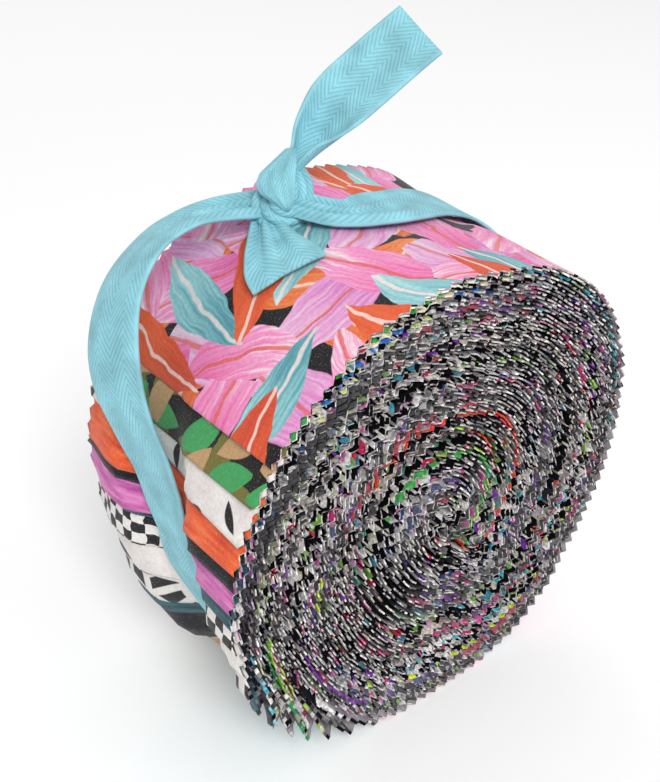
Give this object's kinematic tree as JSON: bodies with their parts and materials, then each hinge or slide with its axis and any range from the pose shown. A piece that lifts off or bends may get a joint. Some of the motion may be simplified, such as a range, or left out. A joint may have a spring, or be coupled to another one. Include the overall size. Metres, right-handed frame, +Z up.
{
  "type": "roll of quilting fabric strips",
  "caption": "Roll of precut cotton quilting strips with pinked edges, standing on its rim and tied with a length of twill tape.",
  "frame": {"origin": "middle of the flat spot on the rim that the roll rests on", "axes": "+Y along the roll's axis, from the end with the showing turns to the other end; +Z up from the floor; +X to the right, seen from -Y"},
  "size_m": [0.1161, 0.0634, 0.1568],
  "materials": {
    "strips": "matte printed cotton",
    "tape": "matte cotton twill"
  },
  "bodies": {
    "root": {"fabric_roll": "strips", "tie_band": "tape", "tie_knot": "tape", "tie_end_long": "tape", "tie_end_short": "tape"}
  },
  "joints": []
}
